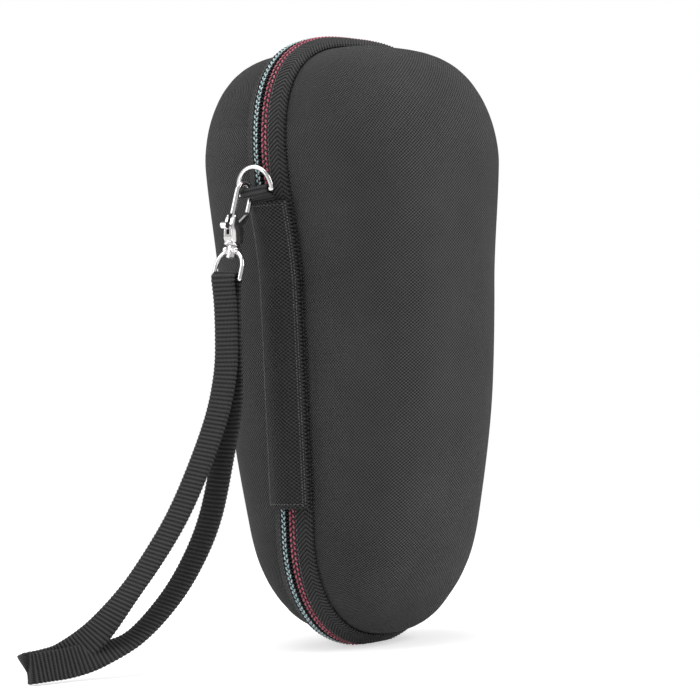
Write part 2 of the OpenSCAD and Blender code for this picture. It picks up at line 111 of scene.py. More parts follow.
def run_along(points):
    """Length from the first point to each."""
    step = np.linalg.norm(np.diff(points, axis=0), axis=1)
    return np.concatenate([[0.0], np.cumsum(step)])


def smooth(a, b, v):
    t = np.clip((v - a) / (b - a), 0.0, 1.0)
    return t * t * (3 - 2 * t)


def half_width(z):
    low = np.clip((FOOT_CAP - z) / FOOT_CAP, 0, 1)
    high = np.clip((z - CASE_H + HEAD_CAP) / HEAD_CAP, 0, 1)
    rise = np.clip((z - FOOT_CAP) / (HEAD_FROM - FOOT_CAP), 0, 1)
    wide = WAIST - TAPER * (1 - rise) + SWELL * smooth(HEAD_FROM, HEAD_FULL, z)
    return (wide * (1 - low**FOOT_ROUND) ** (1 / FOOT_ROUND)
            * (1 - high**HEAD_ROUND) ** (1 / HEAD_ROUND))


def deep(z):
    full = CASE_H - HEAD_CAP
    t = 1 - np.clip((z - FOOT_LOW) / (full - FOOT_LOW), 0, 1)
    return (SHELL_DEEP - (SHELL_DEEP - FOOT_DEEP) * t**DEEP_RISE
            - HEAD_DROP * smooth(full, HEAD_TOP, z))


def crown(y):
    return BAND_DROP * (y / BAND_HALF) ** 2


def crown_x(z):
    return half_width(z + FOOT_FLAT)


class Line:
    """The zipper line from the foot up the spine and round, by the length along it."""

    def __init__(self):
        a = np.radians(np.linspace(-90.0, 90.0, 6001))
        s = np.sin(a)
        z = CASE_H / 2 * (1 + np.sign(s) * np.abs(s) ** 0.8)
        x = -half_width(z)
        up = np.stack([x, z], 1)
        down = np.stack([-x, z], 1)[::-1][1:-1]
        self.dense = np.concatenate([up, down, up[:1]])
        self.run = run_along(self.dense)
        self.length = self.run[-1]

    def places(self, count, shift=0.0, more=0):
        """Equal steps round the line; one more comes back to the start."""
        return (np.arange(count + more) + shift) / count * self.length

    def point(self, s):
        s = np.mod(s, self.length)
        x = np.interp(s, self.run, self.dense[:, 0])
        z = np.interp(s, self.run, self.dense[:, 1])
        return np.stack([x, z], -1)

    def along(self, s, reach=0.6):
        return unit(self.point(s + reach) - self.point(s - reach))

    def inward(self, s):
        t = self.along(s)
        return np.stack([t[..., 1], -t[..., 0]], -1)

    def at(self, s, d, y):
        """Point of the band: d inside the line, at y from the seam."""
        s, d, y = np.broadcast_arrays(np.asarray(s, float), d, y)
        p = self.point(s) + d[..., None] * self.inward(s)
        z = np.maximum(p[..., 1] - FOOT_FLAT, 0.0)
        return np.stack([p[..., 0], y, z], -1)


LINE = Line()


def height_run(z_from, z_to):
    """Places on the spine side between two heights."""
    half = LINE.length / 2
    s = np.linspace(0, half, 4001)
    z = LINE.point(s)[:, 1] - FOOT_FLAT
    return float(np.interp(z_from, z, s)), float(np.interp(z_to, z, s))


# Meshes


def new_mesh(name, verts, faces, uvs, material, smoothed=True):
    """Mesh object from points in millimetres, with a UV pair for each point or corner."""
    me = bpy.data.meshes.new(name)
    verts = np.asarray(verts, float) * MM
    me.from_pydata(verts.tolist(), [], [tuple(int(i) for i in f) for f in faces])
    if uvs is not None:
        layer = me.uv_layers.new(name="UVMap")
        uvs = np.asarray(uvs, float)
        loops = np.zeros(len(me.loops), np.int32)
        me.loops.foreach_get("vertex_index", loops)
        data = uvs[loops] if len(uvs) == len(verts) else uvs
        layer.data.foreach_set("uv", data.astype(np.float32).ravel())
    me.validate()
    me.update()
    if smoothed:
        me.shade_smooth()
    obj = bpy.data.objects.new(name, me)
    bpy.context.scene.collection.objects.link(obj)
    me.materials.append(material)
    return obj


def ring_faces(rings, count, first=0):
    """Faces between rings of points, each ring closed on itself."""
    out = []
    for i in range(rings - 1):
        for j in range(count):
            a = first + i * count + j
            b = first + i * count + (j + 1) % count
            out.append((a, b, b + count, a + count))
    return out


def fix_normals(obj, merge=0.0):
    bm = bmesh.new()
    bm.from_mesh(obj.data)
    if merge:
        bmesh.ops.remove_doubles(bm, verts=bm.verts, dist=merge * MM)
    bmesh.ops.recalc_face_normals(bm, faces=bm.faces)
    bm.to_mesh(obj.data)
    bm.free()
    obj.data.shade_smooth()
    return obj


def loft(name, sections, material, loop=False, v_run=None, u_run=None):
    """Closed solid through sections of equal point count; UV is (u_run, v_run) in mm."""
    sections = np.asarray(sections, float)
    count, n = sections.shape[:2]
    if v_run is None:
        v_run = run_along(sections.mean(1))
    if u_run is None:
        u_run = run_along(np.concatenate([sections[0], sections[0][:1]]))
    verts = sections.reshape(-1, 3)
    faces, uvs = [], []
    for i in range(count if loop else count - 1):
        k = (i + 1) % count
        for j in range(n):
            m = (j + 1) % n
            faces.append((i * n + j, i * n + m, k * n + m, k * n + j))
            uvs += [(u_run[j], v_run[i]), (u_run[j + 1], v_run[i]),
                    (u_run[j + 1], v_run[i + 1]), (u_run[j], v_run[i + 1])]
    if not loop:
        for base, turn in ((0, True), ((count - 1) * n, False)):
            f = [base + j for j in range(n)]
            f = f[::-1] if turn else f
            faces.append(tuple(f))
            uvs += [(u_run[v - base], v_run[0 if base == 0 else -1]) for v in f]
    return fix_normals(new_mesh(name, verts, faces, uvs, material))


# Materials


WHITE = (1.0, 1.0, 1.0, 1.0)


def put(node, values):
    for key, value in values.items():
        node.inputs[key].default_value = value


class Nodes:
    """Shorthand for a material's node tree."""

    def __init__(self, name):
        self.mat = bpy.data.materials.new(name)
        self.mat.use_nodes = True
        self.tree = self.mat.node_tree
        self.bsdf = self.tree.nodes["Principled BSDF"]

    def add(self, kind, **values):
        node = self.tree.nodes.new(kind)
        for key, value in values.items():
            setattr(node, key, value)
        return node

    def link(self, a, b):
        self.tree.links.new(a, b)

    def value(self, socket, v):
        if isinstance(v, bpy.types.NodeSocket):
            self.link(v, socket)
        else:
            socket.default_value = v

    def math(self, op, a, b=0.0, c=None, clamp=False):
        node = self.add("ShaderNodeMath", operation=op, use_clamp=clamp)
        self.value(node.inputs[0], a)
        self.value(node.inputs[1], b)
        if c is not None:
            self.value(node.inputs[2], c)
        return node.outputs[0]

    def uv(self):
        node = self.add("ShaderNodeUVMap", uv_map="UVMap")
        split = self.add("ShaderNodeSeparateXYZ")
        self.link(node.outputs[0], split.inputs[0])
        return split.outputs[0], split.outputs[1]

    def place(self):
        return self.add("ShaderNodeTexCoord").outputs["Object"]

    def noise(self, scale, detail=2.0, rough=0.5):
        node = self.add("ShaderNodeTexNoise")
        put(node, {"Scale": scale, "Detail": detail, "Roughness": rough})
        self.link(self.place(), node.inputs["Vector"])
        return node.outputs["Fac"]

    def ramp(self, fac, stops):
        node = self.add("ShaderNodeValToRGB")
        for el, (pos, col) in zip(node.color_ramp.elements, stops):
            el.position = pos
            el.color = (*col, 1.0)
        self.link(fac, node.inputs[0])
        return node.outputs[0]

    def bump(self, height, distance):
        node = self.add("ShaderNodeBump")
        put(node, {"Strength": 1.0, "Distance": distance * MM})
        self.link(height, node.inputs["Height"])
        return node.outputs[0]

    def scaled(self, x, gain, more):
        return self.math("MULTIPLY_ADD", x, gain, more)

    def wave(self, x, period, phase=0.0):
        """Sine of a length in mm."""
        return self.math("SINE", self.scaled(x, 2 * math.pi / period, phase))

    def finish(self, color, rough, bump, sheen=0.0, metal=0.0, spec=0.5):
        b = self.bsdf
        self.value(b.inputs["Base Color"], color)
        self.value(b.inputs["Roughness"], rough)
        b.inputs["Metallic"].default_value = metal
        b.inputs["Specular IOR Level"].default_value = spec
        b.inputs["Sheen Weight"].default_value = sheen
        b.inputs["Sheen Roughness"].default_value = 0.45
        b.inputs["Sheen Tint"].default_value = (0.85, 0.87, 0.92, 1.0)
        self.link(bump, b.inputs["Normal"])
        return self.mat


def grey(v, warm=0.0):
    return (v * (1 + warm), v, v * (1 - warm))


# Middle of a cloth's dark to light scale, and the noise scale of its fine yarns
CLOTH_MID, YARN_FINE = 0.42, 2600.0


def weave_material(name, across, up, dark, light, depth, twill):
    """Woven cloth over a UV in mm: knots across and up mm apart, in staggered rows."""
    n = Nodes(name)
    u, v = n.uv()
    over = n.math("MULTIPLY", n.wave(u, across), n.wave(v, up))
    lean = n.math("ADD", n.math("MULTIPLY", u, 1 / across), n.math("MULTIPLY", v, -1 / up))
    lines = n.wave(lean, 1.0)
    fine = n.noise(YARN_FINE, 2.0, 0.6)
    broad = n.noise(38.0, 3.0, 0.55)
    level = n.scaled(over, 0.5 - twill, CLOTH_MID)
    level = n.scaled(lines, twill, level)
    level = n.math("ADD", level, n.scaled(fine, 0.4, -0.2))
    level = n.math("ADD", level, n.scaled(broad, 0.24, -0.12), clamp=True)
    color = n.ramp(level, [(0.0, dark), (1.0, light)])
    height = n.math("ADD", over, n.math("MULTIPLY", fine, 0.25))
    height = n.scaled(lines, twill, height)
    return n.finish(color, 0.8, n.bump(height, depth), 0.03, spec=0.18)


def herringbone_material(name, thread, apex, dark, light, depth):
    """Twill that turns over at the apex, given as the UV's u in mm."""
    n = Nodes(name)
    u, v = n.uv()
    side = n.math("ABSOLUTE", n.math("SUBTRACT", u, apex))
    run = n.math("ADD", n.math("MULTIPLY", side, 1.25), v)
    twill = n.wave(run, thread)
    yarn = n.wave(u, 0.42)
    fine = n.noise(YARN_FINE, 2.0, 0.6)
    broad = n.noise(60.0, 2.0, 0.5)
    level = n.scaled(twill, 0.3, CLOTH_MID)
    level = n.scaled(yarn, 0.09, level)
    level = n.math("ADD", level, n.scaled(fine, 0.55, -0.27))
    level = n.math("ADD", level, n.scaled(broad, 0.3, -0.15), clamp=True)
    color = n.ramp(level, [(0.0, dark), (1.0, light)])
    height = n.math("ADD", twill, n.math("MULTIPLY", yarn, 0.4))
    return n.finish(color, 0.82, n.bump(height, depth), 0.04, spec=0.18)


def webbing_material(name, rib, yarn, dark, light, depth):
    """Ribbed webbing: ribs across (v runs along the strap) and warp yarns side by side."""
    n = Nodes(name)
    u, v = n.uv()
    ribs = n.wave(v, rib, math.pi / 2)
    warp = n.wave(u, yarn)
    lean = n.wave(n.math("ADD", v, n.math("MULTIPLY", u, 0.6)), rib * 0.5)
    fine = n.noise(2200.0, 2.0, 0.6)
    level = n.scaled(ribs, 0.34, CLOTH_MID)
    level = n.scaled(warp, 0.12, level)
    level = n.scaled(lean, 0.08, level)
    level = n.math("ADD", level, n.scaled(fine, 0.5, -0.25), clamp=True)
    color = n.ramp(level, [(0.0, dark), (1.0, light)])
    height = n.math("ADD", ribs, n.math("MULTIPLY", warp, 0.35))
    return n.finish(color, 0.74, n.bump(height, depth), 0.05, spec=0.25)


def thread_material(name, color, light):
    n = Nodes(name)
    fine = n.noise(1500.0, 1.0, 0.5)
    col = n.ramp(fine, [(0.3, color), (0.7, light)])
    return n.finish(col, 0.5, n.bump(n.noise(6000.0, 1.0), 0.05), 0.15)


def chrome_material(name, base=0.82):
    n = Nodes(name)
    wear = n.noise(420.0, 3.0, 0.6)
    col = n.ramp(wear, [(0.0, grey(base * 0.9, 0.01)), (1.0, grey(base, 0.01))])
    rough = n.scaled(wear, 0.12, 0.04)
    normal = n.bump(n.noise(260.0, 2.0, 0.5), 0.02)
    return n.finish(col, rough, normal, metal=1.0)


def enamel_material(name, base=0.022):
    n = Nodes(name)
    wear = n.noise(700.0, 3.0, 0.6)
    col = n.ramp(wear, [(0.3, grey(base)), (0.8, grey(base * 1.8))])
    rough = n.scaled(wear, 0.2, 0.26)
    return n.finish(col, rough, n.bump(n.noise(900.0, 2.0), 0.03), spec=0.5)


def nylon_material(name, base):
    n = Nodes(name)
    fine = n.noise(900.0, 2.0, 0.5)
    col = n.ramp(fine, [(0.2, grey(base)), (0.8, grey(base * 1.7))])
    return n.finish(col, 0.42, n.bump(fine, 0.04), spec=0.45)


def knit_material(name, base):
    n = Nodes(name)
    u, v = n.uv()
    loops = n.math("MULTIPLY", n.wave(u, 1.1), n.wave(v, 0.8))
    pile = n.noise(1400.0, 4.0, 0.7)
    broad = n.noise(45.0, 3.0, 0.55)
    level = n.scaled(pile, 0.7, 0.1)
    level = n.scaled(loops, 0.1, level)
    level = n.math("ADD", level, n.scaled(broad, 0.3, -0.15), clamp=True)
    col = n.ramp(level, [(0.0, grey(base * 0.55)), (1.0, grey(base * 1.6))])
    height = n.math("ADD", pile, n.math("MULTIPLY", loops, 0.3))
    return n.finish(col, 0.92, n.bump(height, 0.22), 0.4)


M = {
    "shell": weave_material("shell_weave", 1.46, 1.1, grey(0.0), grey(0.165), 0.3, 0.14),
    "tape_back": herringbone_material("back_twill", 1.55, 6.3, grey(0.004), grey(0.125), 0.22),
    "tape_front": herringbone_material("front_twill", 1.55, 6.3, grey(0.004), grey(0.13), 0.22),
    "strip": weave_material("hinge_weave", 1.45, 1.25, grey(0.0), grey(0.12), 0.45, 0.12),
    "tab": webbing_material("tab_webbing", 1.3, 0.8, grey(0.004), grey(0.075), 0.2),
    "strap": webbing_material("strap_webbing", STRAP_RIB, 0.62, grey(0.003), grey(0.078), 0.2),
    "coil": nylon_material("coil_nylon", 0.01),
    "stop": nylon_material("stop_nylon", 0.016),
    "chrome": chrome_material("hook_chrome"),
    "steel": chrome_material("spring_steel", 0.5),
    "enamel": enamel_material("slider_enamel"),
    "lining": knit_material("lining_knit", 0.03),
    "binding": herringbone_material("binding_twill", 1.1, 2.4, grey(0.006), grey(0.06), 0.1),
    "elastic": webbing_material("elastic_rib", 1.6, 0.9, grey(0.006), grey(0.06), 0.16),
    "hem": webbing_material("hem_rib", 1.4, 0.8, grey(0.005), grey(0.05), 0.14),
    "net": nylon_material("net_yarn", 0.016),
    "blue": thread_material("blue_thread", (0.30, 0.52, 0.56), (0.80, 0.95, 0.97)),
    "red": thread_material("red_thread", (0.30, 0.02, 0.06), (0.80, 0.20, 0.28)),
    "grey": thread_material("grey_thread", grey(0.07), grey(0.2)),
    "black": thread_material("black_thread", grey(0.014), grey(0.04)),
}


# The two moulded halves


def dome_rings(places, steps, d, y_from, thin, side):
    """Rings of a half's section, one for each step in radians from the rim."""
    p = LINE.point(places) + d * LINE.inward(places)
    power = 2 / (HEAD_SQUARE + (FOOT_SQUARE - HEAD_SQUARE)
                 * (1 - smooth(SQUARE_LOW, SQUARE_HIGH, p[:, 1])))
    mid = np.clip(p[:, 1], RIDGE_LOW, RIDGE_HIGH)
    rings = []
    for t in steps:
        out = max(math.cos(t), 0.0) ** power
        up = math.sin(t) ** power
        z = mid + (p[:, 1] - mid) * out
        y = side * (y_from + (deep(z) - thin - y_from) * up)
        rings.append(np.stack([p[:, 0] * out, y, z - FOOT_FLAT], 1))
    return np.array(rings), mid - FOOT_FLAT


RIM_STEPS = np.radians(np.array([0, 1.5, 3.5, 6, 9, 13, 17.5, 22.5, 28, 34, 40, 46]))
FACE_EVEN = 0.74


def section_angles(fine):
    """Steps from the rim to the middle: close at the rim, then even over the face."""
    out = np.linspace(math.cos(RIM_STEPS[-1]) ** FACE_EVEN, 0.0, fine)[1:]
    return np.concatenate([RIM_STEPS, np.arccos(out ** (1 / FACE_EVEN))])


# The cloth is stretched over the face, and its weave is closer on the flanks
STRETCH_FROM, STRETCH, STRETCH_EASE = 26.0, 0.45, 8.0
# Points closer than this are joined, in mm
WELD, NET_WELD = 0.01, 0.004


def flat_uv(rings, mid):
    """Cloth coordinates in mm: each point keeps its direction and its surface distance."""
    steps = np.linalg.norm(np.diff(rings, axis=0), axis=2)
    far_in = np.cumsum(steps[::-1], axis=0)[::-1]
    to_mid = np.concatenate([far_in, np.zeros((1, rings.shape[1]))])
    dx = rings[0, :, 0]
    dz = rings[0, :, 2] - mid
    far = np.hypot(dx, dz) + 1e-9
    over = np.maximum(to_mid - STRETCH_FROM, 0.0)
    to_mid = to_mid + STRETCH * over * over / (over + STRETCH_EASE)
    u = dx / far * to_mid
    v = mid + dz / far * to_mid
    return np.stack([u, v], 2)


def ring_skin(name, rings, uv, material):
    """Closed skin through rings of points round the line."""
    faces = ring_faces(len(rings), rings.shape[1])
    obj = new_mesh(name, rings.reshape(-1, 3), faces, uv.reshape(-1, 2), material)
    return fix_normals(obj, WELD)


def shell_piece(name, side, material):
    places = LINE.places(420)
    outer, mid = dome_rings(places, section_angles(18), GROOVE_IN, WALL_Y, 0, side)
    bead_low = LINE.at(places, crown(RIM_Y) + TAPE_T + LAY_GAP, side * RIM_Y)
    bead_y = BAND_HALF - 0.3
    bead_high = LINE.at(places, crown(BAND_HALF) + TAPE_T + LAY_GAP, side * bead_y)
    back = LINE.at(places, GROOVE_IN + WALL_T, side * RIM_Y)
    inner, _ = dome_rings(places, section_angles(10), GROOVE_IN + WALL_T, WALL_Y, WALL_T,
                          side)
    rings = np.concatenate([outer[::-1], [bead_high], [bead_low], [back], inner])
    uv_outer = flat_uv(outer, mid)
    uv = np.concatenate([uv_outer[::-1], [uv_outer[0]] * 3, flat_uv(inner, mid)])
    return ring_skin(name, rings, uv, material)


def lining_piece(name, side, material):
    places = LINE.places(300)
    d = GROOVE_IN + WALL_T + LAY_GAP
    thin = WALL_T + LAY_GAP
    outer, mid = dome_rings(places, section_angles(8), d, WALL_Y, thin, side)
    rim_a = LINE.at(places, d, side * RIM_Y)
    rim_b = LINE.at(places, d + LINING_T, side * RIM_Y)
    inner, _ = dome_rings(places, section_angles(14), d + LINING_T, WALL_Y, thin + LINING_T,
                          side)
    rings = np.concatenate([outer[::-1], [rim_a], [rim_b], inner])
    uv_in = flat_uv(inner, mid)
    uv = np.concatenate([flat_uv(outer, mid)[::-1], [uv_in[0]] * 2, uv_in])
    return ring_skin(name, rings, uv, material)


BACK, FRONT = "back_half", "front_half"
for side, body, word in ((1, BACK, "back"), (-1, FRONT, "front")):
    shell = shell_piece(word + "_shell_skin", side, M["shell"])
    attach(shell, body)
    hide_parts(word + "_shell")
    lining = lining_piece(word + "_lining_skin", side, M["lining"])
    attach(lining, body)
    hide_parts(word + "_lining")


# The zipper band


LIP_Y, LIP_SINK, LIP_T, STEP_Y = 0.64, 0.4, 0.28, 3.1
PART_EASE, PART_KEEP = 5, 0.52


def seam_shut(places):
    """How far the chain is closed: 0 between the two sliders, 1 elsewhere."""
    p = LINE.point(places)
    z = p[..., 1] - FOOT_FLAT
    low, high = PARTED
    near = smooth(low - PART_EASE, low, z) * (1 - smooth(high, high + PART_EASE, z))
    return 1 - near * (p[..., 0] > 0)


def tape_piece(name, side, material):
    """One tape: a thin lip over the chain, a step, and the full tape out to its edge."""
    count = 520
    places = LINE.places(count)
    under = LIP_SINK + LIP_T
    top = [(LIP_Y, LIP_SINK + 0.14), (LIP_Y + 0.05, LIP_SINK + 0.04), (LIP_Y + 0.25, LIP_SINK),
           (1.3, LIP_SINK), (2.1, LIP_SINK), (STEP_Y - 0.12, LIP_SINK),
           (STEP_Y - 0.02, LIP_SINK * 0.75), (STEP_Y, LIP_SINK * 0.3), (STEP_Y + 0.12, 0.04),
           (STEP_Y + 0.35, 0.0), (4.0, 0.0), (4.8, 0.0), (5.6, 0.0), (6.5, 0.0), (7.2, 0.0),
           (7.6, 0.05), (7.88, 0.22), (8.0, 0.6), (7.86, 1.02), (7.5, TAPE_T)]
    low = [(6.2, TAPE_T), (4.5, TAPE_T), (3.0, TAPE_T), (TAPE_Y + 0.1, TAPE_T),
           (TAPE_Y + 0.1, under), (1.0, under), (LIP_Y + 0.04, under)]
    section = top + low
    shut = seam_shut(places)
    sections = []
    for y, sink in section:
        far = 1.0 if y >= TAPE_Y else PART_KEEP + (1 - PART_KEEP) * shut
        y = TAPE_Y - (TAPE_Y - y) * far
        sections.append(LINE.at(places, crown(y) + sink, side * y))
    sections = np.array(sections).transpose(1, 0, 2)
    u = np.array([y for y, _ in section] + [section[0][0]])
    return loft(name, sections, material, True, LINE.places(count, more=1), u)


def tape_normal(places, y, side):
    """Frame on a tape's face: along the seam, across it, and out."""
    a = LINE.at(places - 0.3, crown(y), side * y)
    b = LINE.at(places + 0.3, crown(y), side * y)
    c = LINE.at(places, crown(y + 0.2), side * (y + 0.2))
    d = LINE.at(places, crown(y - 0.2), side * (y - 0.2))
    along, across = unit(b - a), unit(c - d)
    out = np.cross(along, across) * side
    flip = np.sign((out[..., [0, 2]] * LINE.inward(places)).sum(-1))
    return along, across, -out * flip[..., None]


def stitch_shape(length, width, high):
    """One stitch: a short thread that dips into the cloth at both ends."""
    stations = [(-0.5, 0.3, -0.7), (-0.36, 0.85, 0.1), (0.0, 1.0, 0.55),
                (0.36, 0.85, 0.1), (0.5, 0.3, -0.7)]
    around = 6
    verts = []
    for x, w, up in stations:
        for k in range(around):
            a = 2 * math.pi * k / around
            verts.append((x * length, math.cos(a) * w * width / 2,
                          up * high + math.sin(a) * w * high / 2))
    faces = ring_faces(len(stations), around)
    faces.append(tuple(range(around))[::-1])
    faces.append(tuple((len(stations) - 1) * around + k for k in range(around)))
    return np.array(verts), faces


def stitch_rows(name, parts, material, length, width, high):
    """The same stitch at every centre, turned by the three directions there."""
    centres, along, across, out = (np.concatenate(c) for c in zip(*parts))
    shape, shape_faces = stitch_shape(length, width, high)
    verts = (centres[:, None, :] + shape[None, :, 0:1] * along[:, None, :]
             + shape[None, :, 1:2] * across[:, None, :]
             + shape[None, :, 2:3] * out[:, None, :])
    n = len(shape)
    faces = [tuple(i + k * n for i in f) for k in range(len(centres)) for f in shape_faces]
    obj = new_mesh(name, verts.reshape(-1, 3), faces, None, material)
    return fix_normals(obj)


def band_stitches(name, side, rows, material, pitch=1.8, slant=0.4,
                  size=(1.5, 0.72, 0.42), sink=LIP_SINK):
    """Rows of stitches round a tape, each at its distance from the seam."""
    count = int(LINE.length / pitch)
    parts = []
    for k, y in enumerate(rows):
        places = LINE.places(count, 0.5 * k)
        along, across, out = tape_normal(places, y, side)
        lean = unit(along + across * slant * (1 if k else -1) * side)
        aside = np.cross(out, lean)
        centres = LINE.at(places, crown(y) + sink, side * y) + out * 0.04
        parts.append((centres, lean, aside, out))
    return stitch_rows(name, parts, material, *size)


COIL_PITCH, COIL_LOW, COIL_HIGH, COIL_END = 1.25, 50.5, 150.5, 1.0
WIRE_ALONG, WIRE_DEEP, WIRE_SIDES = 0.34, 0.3, 6
LOOP_IN, LOOP_APART, APART_MORE = 0.12, 0.85, 2


def coil_piece(name, side, material):
    """Half of the nylon coil: a row of loops that mesh with the other half."""
    low, high = height_run(COIL_LOW, COIL_HIGH)
    start, end = high - COIL_END, low + LINE.length + COIL_END
    verts, faces = [], []
    for k in range(int((end - start) / COIL_PITCH)):
        s = start + (k + (0.5 if side > 0 else 0.0)) * COIL_PITCH
        p = LINE.point(s)
        z = p[1] - FOOT_FLAT
        parted = p[0] > 0 and PARTED[0] - APART_MORE < z < PARTED[1] + APART_MORE
        y_in = LOOP_APART if parted else LOOP_IN
        path = [(1.5, 2.0), (1.45, 0.95), (0.8, 0.78), (y_in, 0.8), (y_in, 1.4), (0.8, 2.0),
                (1.5, 2.0)]
        for y, d in path:
            for q in range(WIRE_SIDES):
                t = 2 * math.pi * q / WIRE_SIDES
                verts.append(LINE.at(s + WIRE_ALONG * math.cos(t),
                                     COIL_IN + d + WIRE_DEEP * math.sin(t), side * y))
        faces += ring_faces(len(path), WIRE_SIDES, k * len(path) * WIRE_SIDES)
    return fix_normals(new_mesh(name, np.array(verts), faces, None, material))


for side, body, word, tone, rows in ((1, BACK, "back", "blue", (1.22, 2.3)),
                                     (-1, FRONT, "front", "red", (1.25, 2.42))):
    tape = tape_piece(word + "_tape_twill", side, M["tape_" + word])
    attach(tape, body)
    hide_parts(word + "_zipper_tape")
    seam = band_stitches(word + "_seam_stitches", side, rows, M[tone])
    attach(seam, body)
    edge = band_stitches(word + "_edge_stitches", side, (STEP_Y + 0.5,), M["grey"], 1.62, 0.0,
                         (0.8, 0.34, 0.2), 0.0)
    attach(edge, body)
    coil = coil_piece(word + "_coil_loops", side, M["coil"])
    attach(coil, body)
    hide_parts(word + "_zipper_coil")


# Spine strip over the hinge

EDGE_SINK, SEWN_SINK = 0.8, 0.05


def strip_point(y, z, sink):
    x = -crown_x(z) + crown(y) - STRIP_GAP - STRIP_T + sink
    return np.stack(np.broadcast_arrays(x, y, z), -1)


def strip_piece():
    """Sewn strip with rolled edges and a shallow dip along each row of stitches."""
    half = np.array([STRIP_HALF, 8.2, 7.9, 7.2, 6.2, 5, 3.5, 1.8])
    ys = np.concatenate([-half, [0], half[::-1]])
    half_sinks = np.array([EDGE_SINK, 0.35, 0.1, 0.0, 0.12, 0.04, 0.0, 0.0])
    sinks = np.concatenate([half_sinks, [0], half_sinks[::-1]])
    low = np.array([8.1, 5.5, 2.7, 0.0, -2.7, -5.5, -8.1])
    near = np.array([0.0, 0.15, 0.5, 1.2])
    near_dip = np.array([EDGE_SINK, 0.35, 0.1, 0.0])
    heights = np.concatenate([STRIP_LOW + near[:3],
                              np.linspace(STRIP_LOW + near[3], STRIP_HIGH - near[3], 90),
                              STRIP_HIGH - near[2::-1]])
    dip = np.interp(heights, np.concatenate([STRIP_LOW + near, STRIP_HIGH - near[::-1]]),
                    np.concatenate([near_dip, near_dip[::-1]]))
    sections = []
    for z, e in zip(heights, dip):
        top = strip_point(ys, z, np.minimum(sinks + e, EDGE_SINK))
        under = strip_point(low, z, STRIP_T - 0.2 * e)
        sections.append(np.concatenate([top, under]))
    u = np.concatenate([ys, low, [ys[0]]])
    return loft("hinge_strip_cloth", sections, M["strip"], v_run=heights, u_run=u)


strip = strip_piece()
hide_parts("hinge_strip")
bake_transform(strip)


def strip_slope(y, z, dy, dz):
    """Direction in the strip's face at a place."""
    ahead = strip_point(y + dy, z + dz, SEWN_SINK)
    return unit(ahead - strip_point(y - dy, z - dz, SEWN_SINK))


def strip_stitches():
    """Two rows down each long edge of the strip and one across each end."""
    rows = []
    for side in (-1, 1):
        for k, y in enumerate((side * 6.9, side * 7.6)):
            z = np.arange(STRIP_LOW + 1.2, STRIP_HIGH - 1.0, 0.98) + 0.49 * k
            rows.append((y, z, strip_slope(y, z, 0, 0.3), strip_slope(y, z, side * 0.2, 0)))
    y = np.arange(-6.6, 6.7, 1.1)
    for z in (STRIP_LOW + 1.6, STRIP_HIGH - 1.6):
        rows.append((y, z, strip_slope(y, z, 0.2, 0), np.tile([0.0, 0.0, 1.0], (len(y), 1))))
    parts = []
    for y, z, along, across in rows:
        out = np.cross(along, across)
        out *= -np.sign(out[:, :1])
        parts.append((strip_point(y, z, SEWN_SINK), along, across, out))
    return stitch_rows("hinge_strip_stitches", parts, M["grey"], 0.72, 0.36, 0.3)


sewn = strip_stitches()
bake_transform(sewn)

# Rigid pieces that keep the shape of their solids
RIGID = {"chrome": ("d_ring", "hook_body", "gate_lever", "swivel_ring"),
         "steel": ("gate_pin", "gate_spring"),
         "enamel": ("upper_slider", "lower_slider", "upper_pull_tab", "lower_pull_tab"),
         "stop": ("zipper_end_stops",)}
for mat, names in RIGID.items():
    for node in names:
        data = nodes[node].data
        data.materials.clear()
        data.materials.append(M[mat])

# Inside: bound edges, elastic band, net pocket


def binding_piece(name, side):
    """Woven tape over the raw edges of foam and lining."""
    count = 360
    places = LINE.places(count)
    section = [(4.34, 5.02), (4.62, 4.98), (4.95, 5.0), (5.05, 5.12), (5.05, 7.2),
               (5.05, 9.38), (4.96, 9.5), (4.5, 9.5), (4.33, 9.4), (4.29, 8.9), (4.34, 8.3),
               (4.3, 7.4), (4.3, 6.2), (4.3, 5.3)]
    sections = np.array([LINE.at(places, d, side * y) for y, d in section]).transpose(1, 0, 2)
    return loft(name, sections, M["binding"], True, LINE.places(count, more=1))


def binding_stitches(name, side):
    pitch, depth, face_y = 2.2, 8.4, 4.33
    count = int(LINE.length / pitch)
    places = LINE.places(count)
    flat = LINE.along(places)
    along = np.stack([flat[:, 0], 0 * places, flat[:, 1]], 1)
    inward = LINE.inward(places)
    across = np.stack([inward[:, 0], 0 * places, inward[:, 1]], 1)
    out = np.tile([0.0, -float(side), 0.0], (count, 1))
    centres = LINE.at(places, depth, side * face_y)
    return stitch_rows(name, [(centres, along, across, out)], M["black"], 1.5, 0.4, 0.2)


INNER_D = GROOVE_IN + WALL_T + LINING_T + 2 * LAY_GAP


def inner_x(z):
    """Half the room inside the lining at a height."""
    p = LINE.at(np.linspace(0, LINE.length / 2, 2001), INNER_D, 0.0)
    return -np.interp(z, p[:, 2], p[:, 0])


